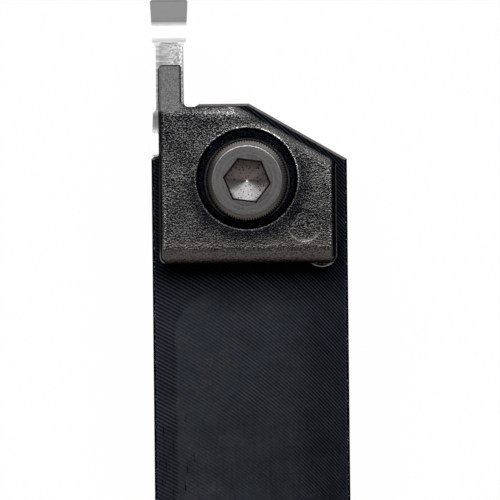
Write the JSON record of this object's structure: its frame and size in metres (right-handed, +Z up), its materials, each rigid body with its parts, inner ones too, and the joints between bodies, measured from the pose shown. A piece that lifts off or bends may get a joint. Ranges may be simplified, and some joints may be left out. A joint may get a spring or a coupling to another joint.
{
  "type": "grooving tool holder",
  "caption": "Square-shank external grooving tool holder with a screwed finger clamp and a double-ended carbide insert on a thin support blade.",
  "frame": {"origin": "middle of the shank's base face, at half the tool's overall length", "axes": "+Y along the shank towards the cutting edge, +X towards the shank's plain side, +Z up towards the clamp"},
  "size_m": [0.025, 0.15, 0.035],
  "materials": {
    "blackened_steel": "black oxide over milled steel, with fine face-mill arcs",
    "ground_carbide": "bright ground carbide with a pressed chip groove",
    "cast_clamp_steel": "investment-cast steel, fine pebbled skin, dark grey-brown",
    "screw_steel": "turned grey alloy steel with a knurled head",
    "black_washer": "black oxide",
    "spring_wire": "drawn spring wire"
  },
  "bodies": {
    "holder": {"holder_body": "blackened_steel", "grooving_insert": "ground_carbide", "lift_spring": "spring_wire"},
    "clamp": {"top_clamp": "cast_clamp_steel", "screw_washer": "black_washer"},
    "screw": {"clamp_screw": "screw_steel"}
  },
  "joints": [
    {"name": "clamp_lift", "type": "slide", "parent": "holder", "child": "clamp", "axis": [0, 0, 1], "range_m": [0, 0.003], "deforming": ["lift_spring"]},
    {"name": "screw_turn", "type": "hinge", "parent": "clamp", "child": "screw", "pos_m": [-0.0003, 0.05175, 0.03], "axis": [0, 0, 1], "range_deg": [0, 1080]}
  ],
  "couplings": [
    {"joint": "screw_turn", "follows": "clamp_lift", "rad_per_m": 6283.2}
  ]
}
